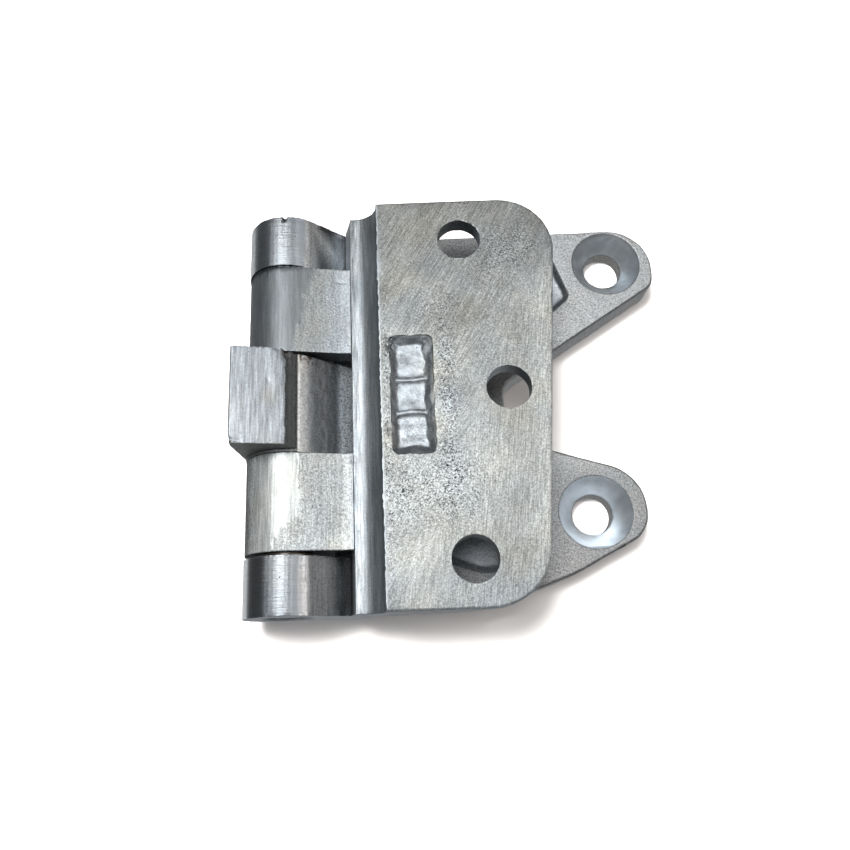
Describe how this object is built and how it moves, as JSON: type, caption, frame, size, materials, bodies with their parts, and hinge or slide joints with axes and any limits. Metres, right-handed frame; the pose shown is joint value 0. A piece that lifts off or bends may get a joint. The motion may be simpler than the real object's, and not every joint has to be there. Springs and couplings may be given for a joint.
{
  "type": "leaf hinge",
  "caption": "Heavy cast leaf hinge, folded closed: a forked frame leaf with countersunk ears and a stop block, and a joggled door leaf with plain bolt holes.",
  "frame": {"origin": "on the frame leaf's flat back, directly under the pin axis, halfway up the hinge", "axes": "+Z out of the frame leaf's back towards the door leaf, +Y along the pin towards the hinge's upper end, +X from the pin towards the screw ears"},
  "size_m": [0.1127, 0.1059, 0.0272],
  "materials": {
    "frame_metal": "cast and zinc plated, matt grain on the ears, turned knuckles and a ground stop face",
    "door_metal": "cast and zinc plated, with a ground and scratched plate face",
    "pin_steel": "turned steel",
    "bush_bronze": "plain turned bronze"
  },
  "bodies": {
    "frame": {"frame_leaf": "frame_metal", "hinge_pin": "pin_steel"},
    "door": {"door_leaf": "door_metal", "upper_bush": "bush_bronze", "lower_bush": "bush_bronze"}
  },
  "joints": [
    {"name": "door_swing", "type": "hinge", "parent": "frame", "child": "door", "pos_m": [0, 0, 0.0105], "axis": [0, -1, 0], "range_deg": [0, 93]}
  ]
}
